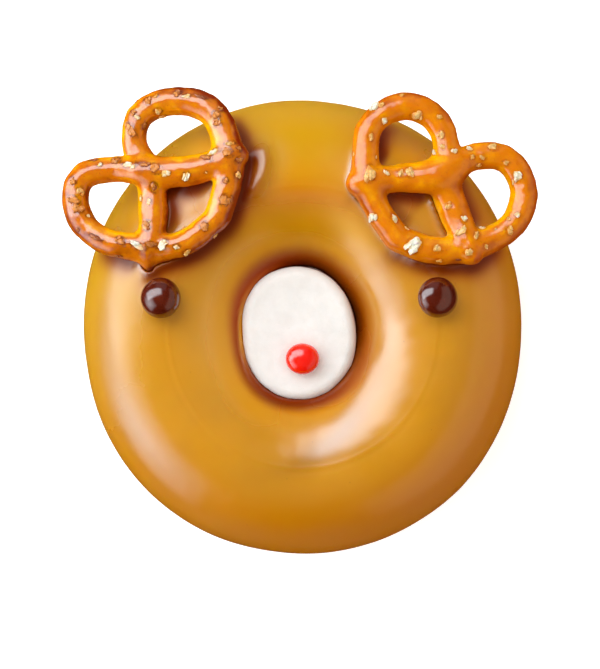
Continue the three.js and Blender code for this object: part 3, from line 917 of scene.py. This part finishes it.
def make_marshmallow():
    side = MARSHMALLOW_RADIUS - MARSHMALLOW_EDGE
    quarter = np.linspace(0, math.pi / 2, 16)
    curve_out = side + MARSHMALLOW_EDGE * np.sin(quarter)
    curve_up = MARSHMALLOW_EDGE * (1 - np.cos(quarter))
    cap = np.linspace(0, side, 30)[1:]
    wall = np.linspace(MARSHMALLOW_FOOT + MARSHMALLOW_EDGE, MARSHMALLOW_TOP - MARSHMALLOW_EDGE, 24)[1:-1]
    out = np.concatenate([
        cap, curve_out[1:], np.full(len(wall), MARSHMALLOW_RADIUS), curve_out[::-1], cap[::-1][1:],
    ])
    up = np.concatenate([
        np.full(len(cap), MARSHMALLOW_FOOT), MARSHMALLOW_FOOT + curve_up[1:], wall,
        MARSHMALLOW_TOP - curve_up[::-1], np.full(len(cap) - 1, MARSHMALLOW_TOP),
    ])
    heading = np.arange(MARSHMALLOW_ROWS) / MARSHMALLOW_ROWS * TAU
    fit = marshmallow_outline(heading) / MARSHMALLOW_RADIUS
    x = np.outer(np.cos(heading) * fit, out) + MARSHMALLOW_OFFSET[0]
    y = np.outer(np.sin(heading) * fit, out) + MARSHMALLOW_OFFSET[1]
    z = np.repeat(up[None, :], MARSHMALLOW_ROWS, 0)
    around, reach = np.arctan2(y, x), np.hypot(x, y)
    hole = hole_radius(around, z) / np.maximum(reach, 0.1)
    keep = np.minimum(1, hole * 0.975)
    wall = np.isclose(np.repeat(out[None, :], MARSHMALLOW_ROWS, 0), MARSHMALLOW_RADIUS)
    squeezed = bell(z, WAIST_LEVEL, 3.5) * wall  # it fills the hole where that is narrowest
    keep = keep + (hole * 0.997 - keep) * squeezed
    points = np.stack([x * keep, y * keep, z], -1).reshape(-1, 3) + AXIS
    columns = len(out)
    r, c = np.meshgrid(np.arange(MARSHMALLOW_ROWS), np.arange(columns - 1), indexing="ij")
    r2 = (r + 1) % MARSHMALLOW_ROWS
    quads = np.stack([r * columns + c, r2 * columns + c, r2 * columns + c + 1, r * columns + c + 1], -1)
    faces = quads.reshape(-1, 4).tolist()
    middle = AXIS + [*MARSHMALLOW_OFFSET, 0]
    points = np.vstack([points, middle + [0, 0, MARSHMALLOW_FOOT], middle + [0, 0, MARSHMALLOW_TOP]])
    low, high = len(points) - 2, len(points) - 1
    for i in range(MARSHMALLOW_ROWS):
        j = (i + 1) % MARSHMALLOW_ROWS
        faces.append([low, j * columns, i * columns])
        faces.append([high, i * columns + columns - 1, j * columns + columns - 1])
    piece = make_mesh("marshmallow_soft", points, faces)
    normals = normals_of(piece)
    soft = 0.18 * grain(points, 6.0, 11) + 0.07 * grain(points, 2.2, 12) + 0.03 * grain(points, 0.8, 13)
    dent_at = AXIS + [3.5, 8.0, MARSHMALLOW_TOP]
    dent = 0.35 * np.exp(-(np.linalg.norm((points - dent_at) / [5, 3.2, 3], axis=1) ** 2))
    shoulder = smoothstep(20.0, 22.5, points[:, 2])
    set_points(piece, points + normals * (soft * shoulder - dent)[:, None])
    # How high the stain reaches, with its painted shade lower down
    _, side = from_marshmallow(points - AXIS)
    tight = bell(turned(side, SOAKED_SIDE), 0, 0.9)
    limit = SOAKED_LEVEL + SOAKED_MORE * tight + 0.25 * grain(points, 2.5, 14)
    set_value(piece, "stain_and_shade", 1 - smoothstep(-0.35, 0.35, points[:, 2] - limit))
    return piece


# Balls and button
BALL_ASKEW = {"left": 0.0, "right": 0.3}  # how steeply a ball's middle plane falls to the right
BUTTON_OVAL = 0.93


def make_ball(node, name, uneven, seed, askew=0.0, oval=False):
    low, high = (np.array(corner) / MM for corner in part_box(node))
    middle, half = (low + high) / 2, (high - low) / 2
    half[:2] = half[:2].max() * np.array([1, BUTTON_OVAL if oval else 1])
    lump = bmesh.new()
    bmesh.ops.create_icosphere(lump, subdivisions=5, radius=1.0)
    points = np.array([v.co for v in lump.verts])
    faces = [[v.index for v in f.verts] for f in lump.faces]
    lump.free()
    wobble = 1 + uneven * (0.7 * grain(points, 0.9, seed) + 0.3 * grain(points, 0.4, seed + 1))
    points[:, 2] -= askew * points[:, 0]
    points[:, 2] *= 1 / np.abs(points[:, 2]).max()
    return make_mesh(name, middle + points * half * wobble[:, None], faces)


# Light and floor. A panel is brightest in its middle and fades out towards its sides.
PANELS = {
    "key_upper_left": dict(
        azimuth=145.6, elevation=38.5, distance=900, size=(2107, 873), roll=-39.7,
        bright=3.6, hot=0.3, spread=60,
    ),
    "key_lower_left": dict(
        azimuth=204.4, elevation=15.9, distance=856, size=(1270, 1200), roll=1.8,
        bright=0.9, hot=2.0, spread=290,
    ),
    "card_right": dict(azimuth=350, elevation=18, distance=529, size=(1900, 620), roll=-9, bright=0.35),
    "card_top": dict(azimuth=90, elevation=22, distance=600, size=(700, 760), roll=0, bright=0.2),
}
LAMP_COLOUR = (0.88, 0.95, 1.0)
CARD_COLOUR = (1.0, 0.8, 0.65)
PANEL_FADE = 0.22
PANELS_FACE = Vector((0.6, -1, 20))  # the point that every panel is turned to
OVERHEAD = ((0.55, 0.85), 0.92)  # heights where the room's light from above begins and is full, its strength
SIDEWAYS = ((0.25, 0.75), 0.45)  # the same towards +X


def add_panel(name, azimuth, elevation, distance, size, roll, bright, hot=0.0, spread=100):
    data = bpy.data.lights.new(name, "AREA")
    data.shape = "RECTANGLE"
    data.size, data.size_y = (s * MM for s in size)
    data.energy = bright * math.pi * data.size * data.size_y
    data.color = CARD_COLOUR if name == "card_right" else LAMP_COLOUR
    light = bpy.data.objects.new(name, data)
    bpy.context.collection.objects.link(light)
    a, e = math.radians(azimuth), math.radians(elevation)
    way = Vector((math.cos(a) * math.cos(e), math.sin(a) * math.cos(e), math.sin(e)))
    light.location = (PANELS_FACE + way * distance) * MM
    light.rotation_mode = "QUATERNION"
    turn = Quaternion((0, 0, 1), math.radians(roll))
    light.rotation_quaternion = way.to_track_quat("Z", "Y") @ turn
    data.use_nodes = True
    n = Nodes(data.node_tree)
    across = n.split(n.add("ShaderNodeNewGeometry").outputs["Parametric"])
    from_middle = [n.math("SUBTRACT", across[axis], 0.5) for axis in ("X", "Y")]
    fades = [n.ramp(n.math("ABSOLUTE", v), 0.5 - PANEL_FADE, 0.5, 1.0, 0.0) for v in from_middle]
    reach = [n.math("POWER", n.math("MULTIPLY", v, side / spread), 2.0) for v, side in zip(from_middle, size)]
    peak = n.math("EXPONENT", n.math("MULTIPLY", n.math("ADD", *reach), -1.0))
    glow = n.math("ADD", n.math("MULTIPLY", peak, hot), 1.0)
    strength = n.math("MULTIPLY", n.math("MULTIPLY", *fades), glow)
    n.link(strength, data.node_tree.nodes["Emission"].inputs["Strength"])


def add_studio():
    for name, settings in PANELS.items():
        add_panel(name, **settings)
    world = bpy.data.worlds.new("studio")
    world.use_nodes = True
    n = Nodes(world.node_tree)
    sky = world.node_tree.nodes["Background"]
    sky.inputs["Color"].default_value = (1, 0.985, 0.97, 1)
    way = n.split(n.add("ShaderNodeTexCoord").outputs["Generated"])
    above = n.ramp(way["Z"], *OVERHEAD[0], 0.0, OVERHEAD[1])
    beside = n.ramp(way["X"], *SIDEWAYS[0], 0.0, SIDEWAYS[1])
    n.link(n.math("ADD", above, beside), sky.inputs["Strength"])
    world.cycles_visibility.glossy = False
    bpy.context.scene.world = world
    bpy.context.scene.view_settings.view_transform = "Standard"


FLOOR_SIZE = 1800


def add_floor():
    half = FLOOR_SIZE / 2
    corners = [(-half, -half, 0), (half, -half, 0), (half, half, 0), (-half, half, 0)]
    floor = make_mesh("floor", corners, [[0, 1, 2, 3]])
    floor.data.materials.append(floor_material())
    floor.visible_glossy = False


def main():
    # The second colour of each salt is the painted shade at its foot
    salts = [
        salt_material("salt_pale", (0.98, 0.86, 0.66), (0.85, 0.45, 0.12), 0.4),
        salt_material("salt_amber", (0.95, 0.56, 0.20), (0.75, 0.26, 0.02), 0.4),
        salt_material("salt_brown", (0.76, 0.27, 0.05), (0.22, 0.03, 0.003), 0.2),
    ]
    # The last colour of each is the painted shadow round the salt
    looks = {
        "left": (0.8, (0.96, 0.44, 0.0), (0.66, 0.17, 0.001), (0.26, 0.024, 0.001), (0.13, 0.02, 0.003)),
        "right": (0.55, (0.93, 0.41, 0.0), (0.71, 0.195, 0.001), (0.46, 0.08, 0.001), (0.45, 0.09, 0.003)),
    }
    pretzels = []
    for seed, (side, rows) in enumerate((("left", SALT_LEFT), ("right", SALT_RIGHT))):
        node = f"pretzel_{side}"
        pretzel = make_pretzel(node, 20 + seed * 5)
        low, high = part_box(node)
        middle = np.array([low[0] + high[0], low[1] + high[1], 0]) / 2 / MM
        set_value(pretzel, "bake_and_shade", bake_and_shade_pattern(pretzel, middle, INNER_SHADE[node]))
        set_value(pretzel, "matt", 1 - smoothstep(0.6, 0.84, normals_of(pretzel)[:, 2]))
        gap = make_salt(pretzel, side, rows, 31 + seed, salts)
        # A painted shadow on the pretzel round each crystal
        set_value(pretzel, "halo", 0.8 * (1 - smoothstep(0.0, HALO_WIDTH, gap)))
        finish_piece(pretzel, node, "baked_pretzel", pretzel_material(f"baked_{side}", *looks[side]))
        pretzels.append(pretzel)
    chocolate = chocolate_material()
    balls = []
    for side in ("left", "right"):
        node = f"chocolate_ball_{side}"
        ball = make_ball(node, f"{node}_glossy", 0.02, 41, BALL_ASKEW[side])
        finish_piece(ball, node, "chocolate", chocolate)
        balls.append(ball)
    button = make_ball("sugar_button", "sugar_button_glossy", 0.025, 45, oval=True)
    finish_piece(button, "sugar_button", "red_sugar", sugar_material())
    finish_piece(make_icing(pretzels, balls), "icing", "caramel_icing", icing_material())
    finish_piece(make_dough(), "dough_ring", "dough", dough_material())
    finish_piece(make_marshmallow(), "marshmallow", "marshmallow", marshmallow_material())
    add_floor()
    add_studio()


main()
